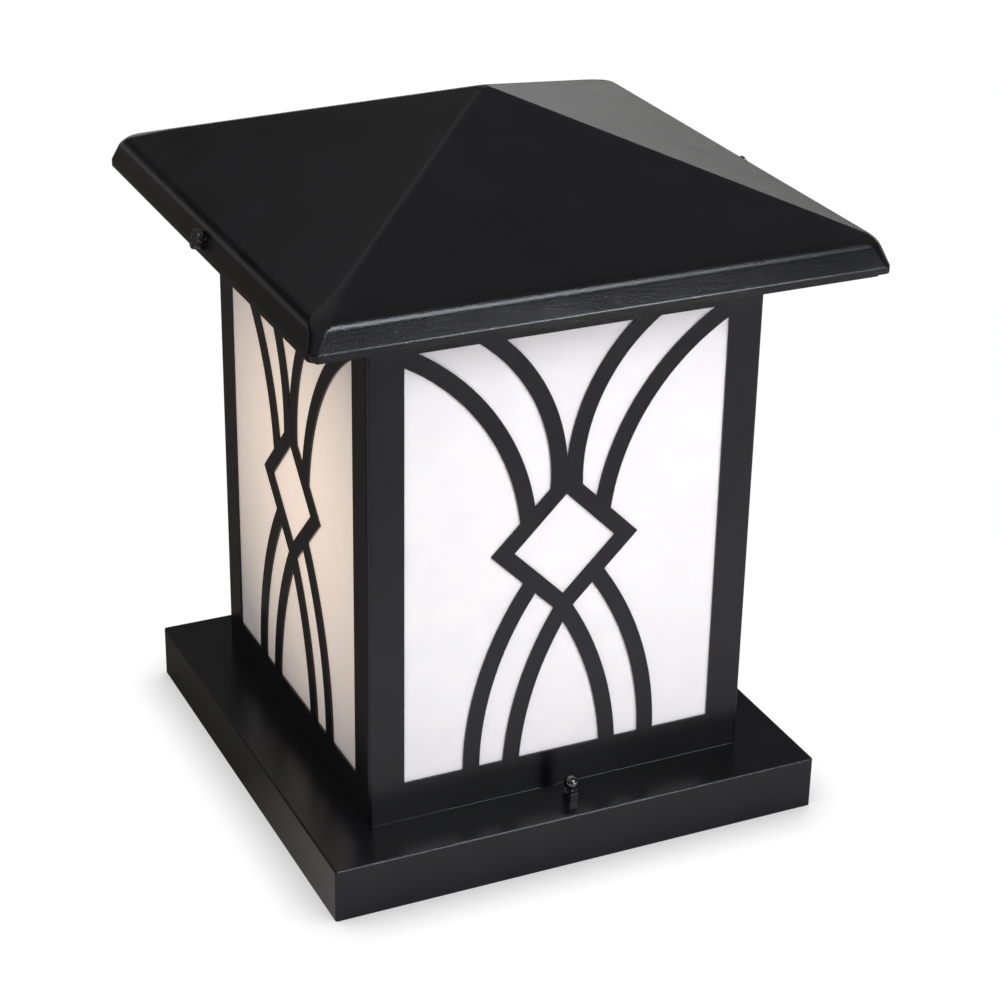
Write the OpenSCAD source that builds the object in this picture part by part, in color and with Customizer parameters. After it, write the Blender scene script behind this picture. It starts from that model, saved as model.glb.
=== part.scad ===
// Pier-mount lantern: square sheet-steel lantern with fretwork sides, opal panes and a hipped
// roof, standing on a hollow base pan that bolts down over a flat mounting bracket.
// Millimetres, +Z up. The origin is the centre of the base pan's underside, and the front
// panel faces -Y.

/* [Base] */
// Width of the base pan's ledge round the body
base_ledge = 31; // [24:0.5:44]
// Height of the base pan
base_h = 30; // [26:1:40]
// Outside radius of the base pan's top and corner bends
base_bend_r = 2.2; // [1.8:0.1:5]
// Sheet thickness of the base pan
base_t = 1.5; // [1:0.1:1.7]
// Radius of the wire hole in the base pan's top
wire_hole_r = 11; // [9.5:0.5:12]

/* [Body] */
// Width of the square lantern body
body_w = 216; // [204:1:228]
// Height of the body between the base pan and the eave tray
body_h = 280.5; // [270:0.5:320]
// Sheet thickness of the body, the tray and the roof
sheet_t = 1.2; // [0.9:0.1:1.5]
// Outside radius of the body's upright corner bends
body_bend_r = 2; // [1.6:0.1:4]
// Leg width of the corner angles inside the body
angle_leg = 12; // [8:0.5:13]
// Thickness of the corner angles
angle_t = 1.5; // [1:0.1:2]
// Outside bend radius of the corner angles
angle_bend_r = 2.5; // [2.1:0.1:4]

/* [Fretwork] */
// Width of the stile on each side of the window
stile_w = 19.5; // [17.5:0.5:24]
// Height of the solid rail below the window
bottom_rail = 22; // [16:0.5:26]
// Height of the solid rail above the window
top_rail = 20.5; // [16:0.5:26]
// Width of every fretwork bar
bar_w = 9.1; // [6:0.1:12]
// Half diagonal of the centre diamond, outside
diamond_half = 41.2; // [34:0.1:46]
// Height of the diamond's centre above the window's sill
diamond_up = 120.8; // [112:0.1:126]
// Lower inner bars: distance of the foot from the centre line
lower_inner_foot = 28; // [22:0.5:34]
// Lower inner bars: radius of the sweep
lower_inner_r = 179.6; // [172:0.1:190]
// Lower inner bars: height of the sweep's centre above the sill
lower_inner_up = -12; // [-16:0.5:-6]
// Lower outer bars: distance of the foot from the centre line
lower_outer_foot = 50.8; // [46:0.1:56]
// Lower outer bars: radius of the sweep
lower_outer_r = 174.2; // [166:0.1:182]
// Lower outer bars: height of the sweep's centre above the sill
lower_outer_up = -0.4; // [-6:0.1:6]
// Upper inner bars: distance of the waist from the centre line
upper_inner_waist = 4.2; // [3:0.1:4.5]
// Upper inner bars: radius of the sweep
upper_inner_r = 102.7; // [98:0.1:108]
// Upper inner bars: height of the sweep's centre above the diamond's centre
upper_inner_up = 37.8; // [32:0.1:42]
// Upper outer bars: distance of the waist from the centre line
upper_outer_waist = 19.9; // [17:0.1:23]
// Upper outer bars: radius of the sweep
upper_outer_r = 130.6; // [126:0.1:136]
// Upper outer bars: height of the sweep's centre above the diamond's centre
upper_outer_up = 1.1; // [-3:0.1:5]

/* [Diffusers] */
// Thickness of the opal panes
pane_t = 3; // [2:0.5:4]
// Overlap of each pane behind the window's edge
pane_lap = 4; // [3:0.5:4.5]
// Width of the clips that hold the panes
clip_w = 14; // [8:1:20]
// Thickness of the clips
clip_t = 1; // [0.6:0.1:1.2]
// Height of a clip's welded foot
clip_foot = 7; // [5:0.5:8]
// Height of a clip's lip behind the pane
clip_lip = 6; // [3:0.5:10]
// Distance of each clip inside the window's edge
clip_in = 28.5; // [18:0.5:50]

/* [Eave tray] */
// Distance that the tray's edge lies inside the roof's lip
tray_inset = 4.75; // [4:0.05:6]
// Plan radius of the tray's corners
tray_corner_r = 1; // [1:0.5:6]
// Width of the tray's ledge inside the body, round the re-lamping opening
relamp_ledge = 13; // [10:0.5:30]
// Corner radius of the re-lamping opening
relamp_corner_r = 10; // [4:1:30]
// Length that the tray's flanges stop short of each corner
flange_relief = 10.25; // [8:0.25:40]

/* [Roof] */
// Distance that the roof's lip stands out from the body
eave_out = 45; // [40:0.5:60]
// Height of the lip's lower edge above the tray's underside
lip_gap = 2.8; // [2:0.1:4]
// Height of the upright lip below the skirt
lip_h = 3.5; // [2.5:0.1:5]
// Distance that the skirt leans in
skirt_lean = 4; // [3:0.1:4.6]
// Height of the leaning skirt
skirt_rise = 12.9; // [12:0.1:14]
// Slope of the hipped faces, as rise over run
roof_slope = 0.36; // [0.25:0.01:0.5]
// Outside radius of the bend between skirt and hipped faces
eave_bend_r = 8.5; // [5:0.1:9]
// Outside radius of the bend between lip and skirt
lip_bend_r = 4; // [2:0.1:8]
// Plan radius of the roof's corners at the lip
lip_corner_r = 4.5; // [2:0.1:8]
// Plan radius of the roof's corners at the eave bend
roof_corner_r = 9; // [6:0.1:9.5]
// Plan radius of the hips
hip_r = 2.6; // [2:0.1:4]
// Length over which the corner radius shrinks to the hip radius
hip_blend = 26; // [10:1:40]
// Distance of the rounded tip from the roof's axis
tip_r = 2.8; // [2.7:0.1:6]

/* [Thumbscrews] */
// Height of the screw's centre on the skirt above the lip's bend
screw_up = 3.7; // [3:0.1:4.5]
// Radius of the screw's thread
screw_r = 2; // [1.5:0.1:2]
// Radius of the knurled head, over the ridges
knurl_r = 5.2; // [4:0.1:6]
// Thickness of the knurled head
knurl_t = 3.5; // [2.5:0.1:6]
// Number of ridges round the knurled head
knurl_ridges = 26; // [16:1:36]
// Depth of the grooves between the ridges
knurl_groove = 0.35; // [0.2:0.05:0.5]
// Radius of the collar under the head
collar_r = 3.3; // [2.8:0.1:4]
// Thickness of the collar
collar_t = 1.1; // [0.6:0.1:2]
// Radius of the clinch nut's flange inside the skirt
clinch_r = 3; // [2.8:0.1:3]
// Thickness of the clinch nut's flange
clinch_t = 1.2; // [0.8:0.1:1.2]

/* [Mounting] */
// Distance of each stud from the body
stud_out = 15.5; // [10:0.1:18]
// Radius of the studs
stud_r = 2.5; // [2:0.1:3]
// Radius of the stud holes in the base pan
stud_hole_r = 2.75; // [2.7:0.05:3.4]
// Length of the mounting bracket past each stud
bracket_end = 9.5; // [6:0.5:12]
// Width of the mounting bracket
bracket_w = 50; // [40:1:60]
// Thickness of the mounting bracket
bracket_t = 2; // [1.5:0.1:3]
// Distance between the bracket's slots
slot_spacing = 88.9; // [80:0.1:102]
// Width of the bracket's slots
slot_w = 5.2; // [4.5:0.1:6]
// Overall length of the bracket's slots
slot_len = 16; // [10:1:24]
// Radius of the bracket's wire entry
entry_r = 13; // [10:0.5:16]
// Width of the cap nuts and lock nuts across the flats
nut_af = 8; // [7.5:0.1:10]
// Height of the cap nuts' hexagon
cap_hex_h = 5; // [4:0.1:7]
// Radius of the cap nuts' ball
cap_ball_r = 4; // [3:0.1:5]
// Radius of the neck between hexagon and ball
cap_neck_r = 2.3; // [1.8:0.1:2.8]
// Height of the ball's centre above the hexagon
cap_ball_up = 4.8; // [4:0.1:6]
// Thickness of the lock nuts
locknut_t = 4; // [3:0.1:5]

/* [Lamp] */
// Length of the lamp bracket's raised deck
deck_len = 84; // [70:1:100]
// Height of the deck's top above the base pan
deck_h = 16; // [14:0.5:24]
// Length of each foot of the lamp bracket
deck_foot = 18; // [14:1:24]
// Width of the lamp bracket
deck_w = 28; // [22:1:36]
// Thickness of the lamp bracket
deck_t = 1.5; // [1:0.1:2]
// Radius of the lampholder's body
holder_r = 19.5; // [17:0.5:24]
// Thickness of the lampholder's floor
holder_floor = 12; // [10:0.5:14]
// Radius of the lamp's screw cap
cap_r = 13.05; // [12:0.05:14]
// Wall of the lampholder's screw shell
shell_t = 0.4; // [0.3:0.05:0.6]
// Length of the lamp's screw cap
cap_len = 25; // [22:0.5:28]
// Length of the screw cap that stands out of the lampholder
cap_proud = 2; // [0.5:0.5:4]
// Radius of the lamp's glass bulb
bulb_r = 30; // [24:0.5:36]
// Overall length of the lamp
bulb_len = 110; // [104:1:125]
// Wall of the glass bulb
glass_t = 1; // [0.6:0.1:1.5]
// Radius of the threaded nipple that holds the lampholder
nipple_r = 4.9; // [4.5:0.1:5.2]
// Radius of each insulated lead
lead_r = 1.1; // [0.8:0.05:1.2]

/* [Hidden] */

$fn = 96;
black = "#26262a";
zinc = "#b9bcc0";
opal = "#f4f0ea";

// Clearance between a turning pin and its bore, on the radius
run_gap = 0.05;
// Gap left where two pieces meet without being fixed to each other
seat_gap = 0.3;
// Overlap that lets joined shapes of one piece fuse
fuse = 1;

// Heights of the main joints
tray_z = base_h + body_h;
lip_z = tray_z + lip_gap;
sill_z = base_h + bottom_rail;

// Main widths, all set out from the body
base_w = body_w + 2 * base_ledge;
roof_w = body_w + 2 * eave_out;
tray_w = roof_w - 2 * tray_inset;
tray_flange_len = tray_w - 2 * flange_relief;
relamp_w = body_w - 2 * relamp_ledge;
window_w = body_w - 2 * stile_w;
window_h = body_h - bottom_rail - top_rail;
clip_x = window_w / 2 - clip_in;
stud_y = body_w / 2 + stud_out;
bracket_len = 2 * (stud_y + bracket_end);

// Half widths
body_in = body_w / 2 - sheet_t;
pane_w = window_w + 2 * pane_lap;
pane_h = window_h + 2 * pane_lap;
diamond_in = diamond_half - bar_w * sqrt(2);

// Roof profile: each corner point is [distance from the axis, height]
lip_top = [roof_w / 2, lip_z + lip_h];
eave = [roof_w / 2 - skirt_lean, lip_z + lip_h + skirt_rise];
skirt_dir = (eave - lip_top) / norm(eave - lip_top);
skirt_in = [-skirt_dir[1], skirt_dir[0]];
face_dir = [-1, roof_slope] / norm([1, roof_slope]);
skirt_turn = acos(skirt_dir * face_dir);
eave_tangent = eave_bend_r * tan(skirt_turn / 2);
eave_centre = eave - skirt_dir * eave_tangent + skirt_in * eave_bend_r;
apex_z = eave[1] + eave[0] * roof_slope;

// The tray's flange ends just under the inside of the eave bend
flange_out = tray_w / 2;
flange_z = eave_centre[1]
    + sqrt(pow(eave_bend_r - sheet_t - seat_gap, 2) - pow(flange_out - eave_centre[0], 2));

// Thumbscrew: its seat on the skirt, and how far the thread reaches towards the flange
screw_seat = lip_top + skirt_dir * (screw_up / skirt_dir[1]);
screw_tilt = atan(-skirt_in[1] / -skirt_in[0]);
shank_r = screw_r - run_gap;
shank_chamfer = 0.6;
screw_reach = (screw_seat[0] - flange_out - seat_gap - sin(screw_tilt) * (shank_r - shank_chamfer))
    / cos(screw_tilt);

// Lamp heights
deck_z = base_h + deck_h;
holder_bore_z = deck_z + holder_floor;
contact_t = 1.5;
bulb_z = holder_bore_z + contact_t + seat_gap;
cap_insulator = 4;
neck_z = bulb_z + cap_insulator + cap_len;
holder_h = neck_z - cap_proud - deck_z;
bulb_centre_z = bulb_z + bulb_len - bulb_r;
shell_r = cap_r + run_gap + shell_t;

// Sides of the lantern, as turns of the front about the axis
FRONT = 0;
RIGHT = 90;
REAR = 180;
LEFT = 270;

// A square with rounded corners, centred
module round_square(w, r) {
    square([w - 2 * r, w], center = true);
    square([w, w - 2 * r], center = true);
    for (x = [-1, 1], y = [-1, 1])
        translate([x, y] * (w / 2 - r)) circle(r = r);
}

// A box that stands on z = 0 with its top edges and upright edges rounded
module soft_box(w, h, r) {
    linear_extrude(h - r) round_square(w, r);
    translate([0, 0, (h - r) / 2 + r / 2]) cube([w - 2 * r, w - 2 * r, h], center = true);
    for (turn = [0:90:270]) rotate([0, 0, turn]) {
        translate([-(w / 2 - r), w / 2 - r, h - r]) rotate([0, 90, 0]) cylinder(r = r, h = w - 2 * r);
        translate([w / 2 - r, w / 2 - r, h - r]) sphere(r = r);
    }
}

// A hexagonal prism with its corners turned off, across the flats af
module hex_body(af, h) {
    intersection() {
        cylinder(r = af / sqrt(3), h = h, $fn = 6);
        cylinder(r = af / sqrt(3) * 0.97, h = h);
    }
}

// Places a piece drawn in the front's x and z at depth y on one side of the lantern
module on_side(turn, y, z) {
    rotate([0, 0, turn]) translate([0, y, z]) rotate([90, 0, 0]) children();
}

// Base pan: a hollow pressed box, open below, with the wire hole and the two stud holes
module base_pan() color(black) {
    difference() {
        soft_box(base_w, base_h, base_bend_r);
        translate([0, 0, -fuse]) linear_extrude(base_h - base_t + fuse)
            round_square(base_w - 2 * base_t, base_bend_r - base_t);
        translate([0, 0, base_h - base_t - fuse]) cylinder(r = wire_hole_r, h = base_t + 2 * fuse);
        for (y = [-stud_y, stud_y])
            translate([0, y, base_h - base_t - fuse]) cylinder(r = stud_hole_r, h = base_t + 2 * fuse);
        for (x = [-foot_x, foot_x])
            translate([x, 0, base_h - base_t - fuse]) cylinder(r = bracket_screw_r, h = base_t + 2 * fuse);
    }
}

// Snap bushing that lines the wire hole
bushing_bore_r = 8;
bushing_flange_r = 13;
bushing_flange_t = 1.4;
bushing_skirt = 3.5;
module wire_bushing() color("#18181a") {
    difference() {
        union() {
            translate([0, 0, base_h]) cylinder(r = bushing_flange_r, h = bushing_flange_t);
            translate([0, 0, base_h - base_t - bushing_skirt])
                cylinder(r = wire_hole_r, h = base_t + bushing_skirt + fuse);
        }
        translate([0, 0, base_h - base_t - bushing_skirt - fuse])
            cylinder(r = bushing_bore_r, h = base_t + bushing_skirt + bushing_flange_t + 2 * fuse);
    }
}

// Mounting bracket: flat bar with two slots, the wire entry, the studs and the ground screw
ground_at = [16, 24];
ground_r = 2;
module mounting_bracket() color(zinc) {
    difference() {
        translate([-bracket_w / 2, -bracket_len / 2, 0]) cube([bracket_w, bracket_len, bracket_t]);
        translate([0, 0, -fuse]) cylinder(r = entry_r, h = bracket_t + 2 * fuse);
        for (y = [-stud_y, stud_y])
            translate([0, y, -fuse]) cylinder(r = stud_r, h = bracket_t + 2 * fuse);
        translate([ground_at[0], ground_at[1], -fuse]) cylinder(r = ground_r, h = bracket_t + 2 * fuse);
        for (y = [-slot_spacing / 2, slot_spacing / 2]) translate([0, y, -fuse]) {
            for (end = [-1, 1])
                translate([0, end * (slot_len - slot_w) / 2, 0])
                    cylinder(r = slot_w / 2, h = bracket_t + 2 * fuse);
            translate([-slot_w / 2, -(slot_len - slot_w) / 2, 0])
                cube([slot_w, slot_len - slot_w, bracket_t + 2 * fuse]);
        }
    }
}

// Two studs that stand up through the base pan into the cap nuts
nut_crown = 0.5;
stud_in_nut = cap_hex_h - nut_crown - seat_gap;
module mounting_studs() color(zinc) {
    for (y = [-stud_y, stud_y]) translate([0, y, 0]) cylinder(r = stud_r, h = base_h + stud_in_nut);
}

// Nuts that lock the studs to the bracket
module stud_locknuts() color(zinc) {
    for (y = [-stud_y, stud_y]) translate([0, y, bracket_t]) difference() {
        hex_body(nut_af, locknut_t);
        translate([0, 0, -fuse]) cylinder(r = stud_r, h = locknut_t + 2 * fuse);
    }
}

// Ball-top cap nut that clamps the base pan to a stud
module cap_nut() {
    difference() {
        union() {
            hex_body(nut_af, cap_hex_h);
            cylinder(r = cap_neck_r, h = cap_hex_h + cap_ball_up);
            translate([0, 0, cap_hex_h + cap_ball_up]) sphere(r = cap_ball_r);
        }
        translate([0, 0, -fuse]) cylinder(r = stud_r + run_gap, h = cap_hex_h - nut_crown + fuse);
    }
}

module front_cap_nut() color("#101012") translate([0, -stud_y, base_h]) cap_nut();

module rear_cap_nut() color("#101012") translate([0, stud_y, base_h]) cap_nut();

// Ground screw in the bracket
ground_head_r = 4;
ground_head_t = 2.6;
module ground_screw() color("#2f7d46") translate([ground_at[0], ground_at[1], 0]) {
    cylinder(r = ground_r, h = bracket_t + fuse);
    translate([0, 0, bracket_t]) cylinder(r = ground_head_r, h = ground_head_t);
}

// A point on a quadratic curve, and the smooth route that a list of points pulls out
function bend_point(a, b, c, t) = (1 - t) * (1 - t) * a + 2 * t * (1 - t) * b + t * t * c;
function smooth(p, steps) = concat([p[0]],
    [for (i = [1:len(p) - 2], k = [1:steps])
        bend_point(i == 1 ? p[0] : (p[i - 1] + p[i]) / 2, p[i],
                   i == len(p) - 2 ? p[i + 1] : (p[i] + p[i + 1]) / 2, k / steps)]);
function unit(v) = v / norm(v);
function heading(p, i) = unit(p[min(i + 1, len(p) - 1)] - p[max(i - 1, 0)]);
function ring_at(p, i, r, side, sides) = let (d = heading(p, i), u = unit(cross(d, side)), v = cross(d, u))
    [for (k = [0:sides - 1]) p[i] + r * (cos(360 * k / sides) * u + sin(360 * k / sides) * v)];

// A tube of the given radius along a smooth route; no stretch may run along side
module tube(route, r, side, sides = 8) {
    p = smooth(route, 5);
    n = len(p);
    points = [for (i = [0:n - 1]) each ring_at(p, i, r, side, sides)];
    walls = [for (i = [0:n - 2], k = [0:sides - 1])
        let (a = i * sides + k, b = i * sides + (k + 1) % sides)
            each [[a, b, b + sides], [a, b + sides, a + sides]]];
    ends = concat([for (k = [1:sides - 2]) [0, k + 1, k]],
        [for (k = [1:sides - 2]) [(n - 1) * sides, (n - 1) * sides + k, (n - 1) * sides + k + 1]]);
    polyhedron(points = points, faces = [for (f = concat(walls, ends)) [f[2], f[1], f[0]]]);
}

// Leads: from the lampholder down the nipple and the bushing into the base pan
lead_apart = 1.5;
lead_low = 12;
lead_rise = 2;
lead_spread = 9;
lead_run = 56;
module lead(side) {
    x = side * lead_apart;
    far_x = side * lead_spread;
    tube([[x, 0, deck_z + nipple_in_holder], [x, 0, base_h + bushing_flange_t], [x, 0, lead_low],
          [(x + 2 * far_x) / 3, -lead_run * 0.36, lead_low - lead_rise / 2],
          [far_x, -lead_run * 0.6, lead_low], [far_x, -lead_run, lead_low + lead_rise]],
         lead_r, [1, 0, 0]);
}

module line_lead() color("#1c1c1e") lead(-1);

module neutral_lead() color("#e9e7e1") lead(1);

// Ground lead: from under the ground screw's head to a free end beside the leads
ground_run = 38;
ground_loop = 24;
function ground_stop(across, along, z) =
    [ground_at[0] - across * ground_loop, ground_at[1] + along * ground_run, z];
module ground_lead() color("#3f8f55") {
    flat_z = bracket_t + lead_r;
    tube([[ground_at[0], ground_at[1] + ground_head_r + lead_r, flat_z], ground_stop(0, 0.47, flat_z),
          ground_stop(0.17, 0.9, lead_low - lead_rise), ground_stop(0.58, 1, lead_low + lead_rise / 2),
          ground_stop(1, 0.84, lead_low + lead_rise)], lead_r, [0, 0, 1]);
}

// Fretwork bar: a slice of a ring about [x, y]
module sweep_bar(x, y, r) {
    translate([x, y]) difference() {
        circle(r = r + bar_w / 2);
        circle(r = r - bar_w / 2);
    }
}

// Lower bar with its foot on the sill, left of the centre line
module lower_bar(foot, r, up) {
    sweep_bar(sqrt(r * r - up * up) - foot, up, r);
}

// Upper bar with its waist beside the diamond, left of the centre line
module upper_bar(waist, r, up) {
    sweep_bar(-waist - r, diamond_up + up, r);
}

// Fretwork of one window, with y from the sill: the bars, and the diamond that joins them
module fretwork() {
    difference() {
        union() {
            for (flip = [0, 1]) mirror([flip, 0]) {
                intersection() {
                    translate([-window_w / 2 - fuse, -fuse])
                        square([window_w + 2 * fuse, diamond_up + fuse]);
                    union() {
                        lower_bar(lower_inner_foot, lower_inner_r, lower_inner_up);
                        lower_bar(lower_outer_foot, lower_outer_r, lower_outer_up);
                    }
                }
                intersection() {
                    translate([-window_w / 2 - fuse, diamond_up])
                        square([window_w + 2 * fuse, window_h - diamond_up + fuse]);
                    union() {
                        upper_bar(upper_inner_waist, upper_inner_r, upper_inner_up);
                        upper_bar(upper_outer_waist, upper_outer_r, upper_outer_up);
                    }
                }
            }
            translate([0, diamond_up]) rotate(45)
                square(diamond_half * sqrt(2), center = true);
        }
        translate([0, diamond_up]) rotate(45) square(diamond_in * sqrt(2), center = true);
    }
}

// One laser-cut side, with y from its lower edge
module panel_face() {
    flat = body_w - 2 * body_bend_r;
    difference() {
        translate([-flat / 2, 0]) square([flat, body_h]);
        translate([-window_w / 2, bottom_rail]) square([window_w, window_h]);
    }
    translate([0, bottom_rail]) fretwork();
}

module flat_panel(turn) {
    on_side(turn, -body_in, base_h) linear_extrude(sheet_t) panel_face();
}

// A disc with a straight tail towards -x, from which a corner bend is cut
module bend_disc(r) {
    circle(r = r);
    translate([-2 * fuse, -r]) square([2 * fuse, 2 * r]);
}

// Front and rear panels also carry the body's four upright corner bends
module bent_panel(turn) {
    flat_panel(turn);
    rotate([0, 0, turn]) for (flip = [0, 1]) mirror([flip, 0, 0])
        translate([body_w / 2 - body_bend_r, -(body_w / 2 - body_bend_r), base_h]) linear_extrude(body_h)
            intersection() {
                difference() {
                    bend_disc(body_bend_r);
                    bend_disc(body_bend_r - sheet_t);
                }
                translate([-fuse, -body_bend_r]) square([body_bend_r + fuse, body_bend_r]);
            }
}

module front_panel() color(black) bent_panel(FRONT);

module rear_panel() color(black) bent_panel(REAR);

module left_panel() color(black) flat_panel(LEFT);

module right_panel() color(black) flat_panel(RIGHT);

// Corner angle: an L with a bent heel, welded up inside one corner of the body
module heel(leg, r) {
    translate([r, 0]) square([leg - r, leg]);
    translate([0, r]) square([leg, leg - r]);
    translate([r, r]) circle(r = r);
}

module corner_angle(turn) color("#3a3a3e") {
    rotate([0, 0, turn]) translate([-body_in, -body_in, base_h]) linear_extrude(body_h)
        difference() {
            heel(angle_leg, angle_bend_r);
            translate([angle_t, angle_t]) heel(angle_leg, angle_bend_r - angle_t);
        }
}

module front_left_angle() corner_angle(FRONT);

module front_right_angle() corner_angle(RIGHT);

module rear_right_angle() corner_angle(REAR);

module rear_left_angle() corner_angle(LEFT);

// Opal pane behind one window
module diffuser(turn) color(opal) {
    on_side(turn, -body_in + pane_t, sill_z - pane_lap) linear_extrude(pane_t)
        translate([-pane_w / 2, 0]) square([pane_w, pane_h]);
}

module front_diffuser() diffuser(FRONT);

module rear_diffuser() diffuser(REAR);

module left_diffuser() diffuser(LEFT);

module right_diffuser() diffuser(RIGHT);

// Clip under a pane: the welded foot, the shelf that the pane stands on, and the lip behind it
module clip() {
    rotate([90, 0, 90]) translate([0, 0, -clip_w / 2]) linear_extrude(clip_w)
        polygon([[0, -clip_t - clip_foot], [clip_t, -clip_t - clip_foot], [clip_t, -clip_t],
                 [pane_t + clip_t, -clip_t], [pane_t + clip_t, clip_lip], [pane_t, clip_lip],
                 [pane_t, 0], [0, 0]]);
}

module diffuser_clips() color(zinc) {
    for (turn = [0:90:270], x = [-clip_x, clip_x]) rotate([0, 0, turn]) {
        translate([x, -body_in, sill_z - pane_lap]) clip();
        translate([x, -body_in, sill_z - pane_lap + pane_h]) mirror([0, 0, 1]) clip();
    }
}

// Eave tray: plate with the re-lamping opening, and a flange turned up along each side
module eave_tray() color(black) {
    difference() {
        translate([0, 0, tray_z]) linear_extrude(sheet_t) round_square(tray_w, tray_corner_r);
        translate([0, 0, tray_z - fuse]) linear_extrude(sheet_t + 2 * fuse)
            round_square(relamp_w, relamp_corner_r);
    }
    for (turn = [0:90:270]) rotate([0, 0, turn])
        translate([-tray_flange_len / 2, -flange_out, tray_z])
            cube([tray_flange_len, sheet_t, flange_z - tray_z]);
}

// Lamp bracket: a bridge over the wire hole, screwed to the base pan
foot_x = deck_len / 2 + deck_foot / 2;
bracket_screw_r = 2;
module lamp_bracket() color(zinc) {
    difference() {
        union() {
            translate([-deck_len / 2, -deck_w / 2, deck_z - deck_t]) cube([deck_len, deck_w, deck_t]);
            for (flip = [0, 1]) mirror([flip, 0, 0]) {
                translate([deck_len / 2 - deck_t, -deck_w / 2, base_h]) cube([deck_t, deck_w, deck_h]);
                translate([deck_len / 2 - deck_t, -deck_w / 2, base_h])
                    cube([deck_foot + deck_t, deck_w, deck_t]);
            }
        }
        translate([0, 0, deck_z - deck_t - fuse]) cylinder(r = nipple_r, h = deck_t + 2 * fuse);
        for (x = [-foot_x, foot_x])
            translate([x, 0, base_h - fuse]) cylinder(r = bracket_screw_r, h = deck_t + 2 * fuse);
    }
}

// Self-tapping screws through the lamp bracket's feet
bracket_screw_head_r = 3.8;
bracket_screw_head_t = 2.4;
bracket_screw_tail = 2.5;
module bracket_screws() color(zinc) {
    shank = bracket_screw_tail + base_t + deck_t;
    for (x = [-foot_x, foot_x]) translate([x, 0, base_h + deck_t]) {
        translate([0, 0, -shank]) {
            cylinder(r1 = 0.6, r2 = bracket_screw_r, h = bracket_screw_tail);
            translate([0, 0, bracket_screw_tail])
                cylinder(r = bracket_screw_r, h = shank - bracket_screw_tail + fuse);
        }
        cylinder(r = bracket_screw_head_r, h = bracket_screw_head_t);
    }
}

// Threaded nipple between lamp bracket and lampholder, hollow for the leads
nipple_bore_r = 3.6;
holder_web = 4;
nipple_nut_t = 3.2;
nipple_nut_af = 14;
nipple_in_holder = holder_floor - holder_web;
nipple_tail = 1.2;
module nipple() color(zinc) {
    length = nipple_tail + nipple_nut_t + deck_t + nipple_in_holder;
    translate([0, 0, deck_z + nipple_in_holder - length]) difference() {
        cylinder(r = nipple_r, h = length);
        translate([0, 0, -fuse]) cylinder(r = nipple_bore_r, h = length + 2 * fuse);
    }
}

module nipple_nut() color(zinc) {
    translate([0, 0, deck_z - deck_t - nipple_nut_t]) difference() {
        hex_body(nipple_nut_af, nipple_nut_t);
        translate([0, 0, -fuse]) cylinder(r = nipple_r, h = nipple_nut_t + 2 * fuse);
    }
}

// Lampholder: moulded body with a stepped outside, bored for the screw shell and the nipple
holder_shoulder = 19;
module lampholder() color("#e6e1d6") {
    difference() {
        translate([0, 0, deck_z]) union() {
            cylinder(r = holder_r, h = holder_shoulder);
            translate([0, 0, holder_shoulder])
                cylinder(r1 = holder_r, r2 = holder_r - 1.5, h = holder_h - holder_shoulder);
        }
        translate([0, 0, holder_bore_z]) cylinder(r = shell_r, h = holder_h);
        translate([0, 0, deck_z - fuse]) cylinder(r = nipple_r, h = nipple_in_holder + fuse);
    }
}

// Screw shell that lines the lampholder's bore
shell_stop = 3;
module screw_shell() color("#c9b98a") {
    translate([0, 0, holder_bore_z]) difference() {
        cylinder(r = shell_r, h = holder_h - holder_floor - shell_stop);
        translate([0, 0, -fuse]) cylinder(r = shell_r - shell_t, h = holder_h);
    }
}

// Centre contact on the floor of the lampholder
contact_r = 4;
module centre_contact() color("#c8963c") {
    translate([0, 0, holder_bore_z]) cylinder(r = contact_r, h = contact_t);
}

// Lamp: screw cap with its insulator and pip, and the opal bulb
module bulb_cap() color("#c9ccd0") {
    translate([0, 0, bulb_z]) {
        cylinder(r1 = contact_r, r2 = cap_r - 1, h = cap_insulator);
        translate([0, 0, cap_insulator]) cylinder(r = cap_r, h = cap_len);
    }
}

// The bulb's neck is the cone from the cap that touches the sphere
neck_run = bulb_centre_z - neck_z;
neck_hypot = norm([cap_r, neck_run]);
neck_turn = acos(bulb_r / neck_hypot) - atan(neck_run / cap_r);
module bulb_body(inset) {
    r = bulb_r - inset;
    shoulder_z = bulb_centre_z + r * sin(neck_turn);
    polygon([[0, neck_z], [cap_r - inset, neck_z], [r * cos(neck_turn), shoulder_z], [0, shoulder_z]]);
    intersection() {
        translate([0, bulb_centre_z]) circle(r = r);
        translate([0, bulb_centre_z - r]) square([r, 2 * r]);
    }
}

module bulb_glass() color(opal) {
    rotate_extrude() difference() {
        bulb_body(0);
        bulb_body(glass_t);
    }
}

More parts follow.
